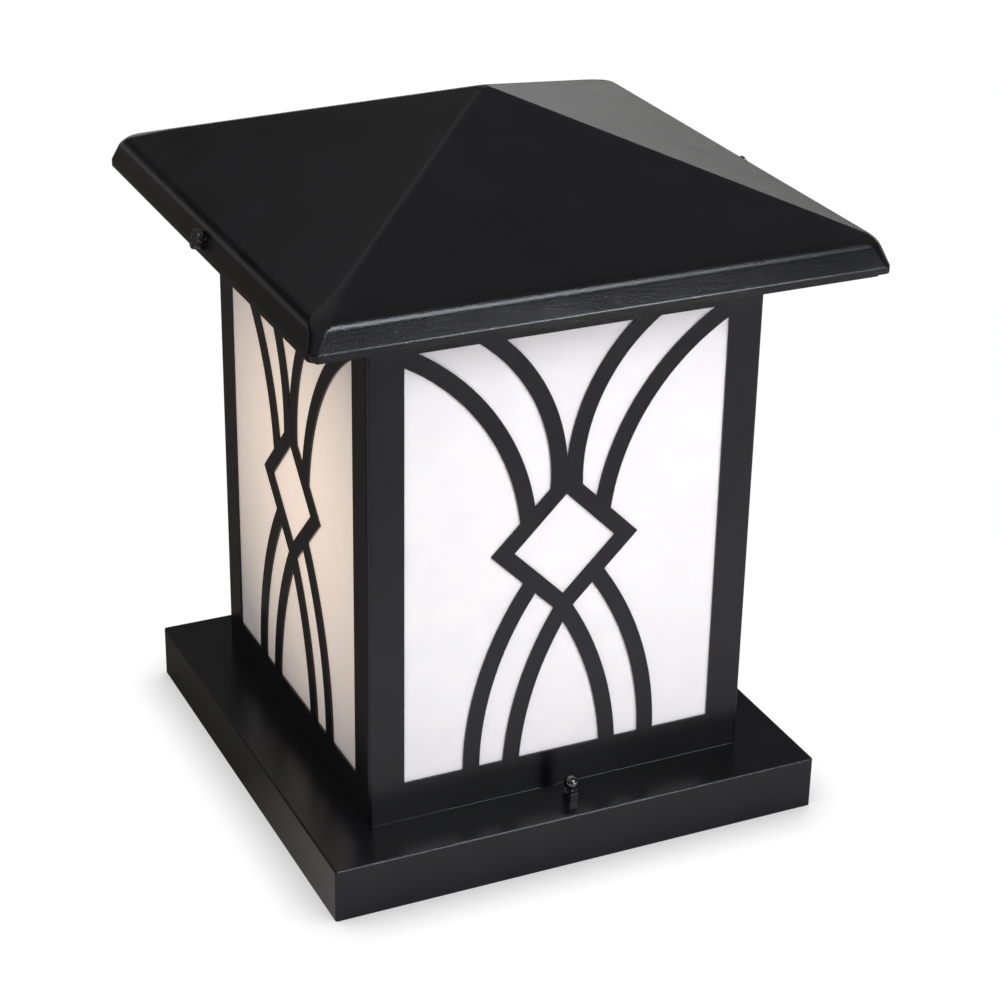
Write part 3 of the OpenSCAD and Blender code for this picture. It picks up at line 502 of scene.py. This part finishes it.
# The room: a pale backdrop stands low all round, brightest at the back on the right, where the
# roof's right face mirrors it; above it the walls are dark, and the ceiling gives back some
# light, most of it on the left.
room = bpy.data.worlds.new("pale backdrop in a dark room")
room.use_nodes = True
room.node_tree.nodes.clear()
way = add(room, "ShaderNodeTexCoord")
heading = add(room, "ShaderNodeSeparateXYZ", {0: way.outputs["Generated"]})
backdrop = add(room, "ShaderNodeMapRange", {
    "Value": heading.outputs["Z"], "From Min": 0.06, "From Max": 0.22,
    "To Min": 1.05, "To Max": 0.03}, interpolation_type="SMOOTHSTEP")
back_right = add(room, "ShaderNodeVectorMath", {0: way.outputs["Generated"], 1: (0.56, 0.83, 0)},
                 operation="DOT_PRODUCT")
lit_wall = add(room, "ShaderNodeMapRange", {
    "Value": back_right.outputs["Value"], "From Min": 0.6, "From Max": 0.95,
    "To Min": 0.3, "To Max": 1.0})
ceiling = add(room, "ShaderNodeMapRange", {
    "Value": heading.outputs["Z"], "From Min": 0.44, "From Max": 0.55,
    "To Min": 0.0, "To Max": 1.0}, interpolation_type="SMOOTHSTEP")
ceiling_light = add(room, "ShaderNodeMapRange", {
    "Value": heading.outputs["X"], "From Min": 0.1, "From Max": 0.35,
    "To Min": 0.34, "To Max": 0.17})
ray = add(room, "ShaderNodeLightPath")
glossy = add(room, "ShaderNodeMath", {0: ray.outputs["Is Glossy Ray"], 1: 0.37},
             operation="MULTIPLY")
shown = add(room, "ShaderNodeMath", {
    0: lit_wall.outputs[0], 1: glossy.outputs[0]}, operation="MAXIMUM")
walls = add(room, "ShaderNodeMath", {
    0: backdrop.outputs[0], 1: shown.outputs[0]}, operation="MULTIPLY")
overhead = add(room, "ShaderNodeMath", {
    0: ceiling.outputs[0], 1: ceiling_light.outputs[0]}, operation="MULTIPLY")
around = add(room, "ShaderNodeMath", {
    0: walls.outputs[0], 1: overhead.outputs[0]}, operation="ADD")
straight = add(room, "ShaderNodeMath", {
    0: ray.outputs["Is Camera Ray"], 1: ray.outputs["Is Transmission Ray"]}, operation="MAXIMUM")
level = add(room, "ShaderNodeMath", {
    0: straight.outputs[0], 1: around.outputs[0]}, operation="MAXIMUM")
back = add(room, "ShaderNodeBackground", {"Strength": level.outputs[0]})
back.inputs["Color"].default_value = (1, 1, 1, 1)
add(room, "ShaderNodeOutputWorld", {"Surface": back.outputs[0]})
bpy.context.scene.world = room


def softbox(name, place, aim, width, height, radiance, colour):
    """An area lamp whose face is as bright as radiance times plain white."""
    light = bpy.data.lights.new(name, "AREA")
    light.shape = "RECTANGLE"
    light.size, light.size_y = width, height
    light.energy = radiance * math.pi * width * height
    light.color = linear(colour)[:3]
    lamp = bpy.data.objects.new(name, light)
    lamp.location = place
    lamp.rotation_mode = "QUATERNION"
    lamp.rotation_quaternion = (Vector(aim) - Vector(place)).to_track_quat("-Z", "Y")
    lamp.visible_camera = False
    bpy.context.scene.collection.objects.link(lamp)
    return lamp


# The key lights the front and draws the bright line on the eave bend. The edge strip draws the one
# on the lip. The fill is warm, lights the left and stands outside what the coat mirrors.
softbox("key softbox", (0.35, -1.3, 1.17), (0, -0.15, 0.33), 0.85, 0.46, 10.0, "#f5f8ff")
softbox("edge strip", (0.5, -1.25, 0.22), (0, -0.1, 0.3), 0.34, 0.25, 18, "#f5f8ff")
fill = softbox("fill softbox", (-1.7, -1.3, 1.7), (0, 0, 0.2), 1.2, 1.2, 3.25, "#ffeee0")
fill.visible_glossy = False

# The camera stands where the photograph's did.
focal_px, photo_px, sensor_mm = 2533.875, 1000, 36
camera_data = bpy.data.cameras.new("camera")
camera_data.sensor_width = sensor_mm
camera_data.lens = focal_px / photo_px * sensor_mm
camera = bpy.data.objects.new("camera", camera_data)
forward = Vector((0.381879, 0.815262, -0.435333)).normalized()
up = Vector((0.168113, 0.401899, 0.900120)).normalized()
right = forward.cross(up).normalized()
turn = Matrix((right, right.cross(forward), -forward)).transposed()
camera.matrix_world = Matrix.Translation((-0.51756, -1.13368, 0.75232)) @ turn.to_4x4()
bpy.context.scene.collection.objects.link(camera)
bpy.context.scene.camera = camera

bpy.context.scene.view_settings.view_transform = "Standard"
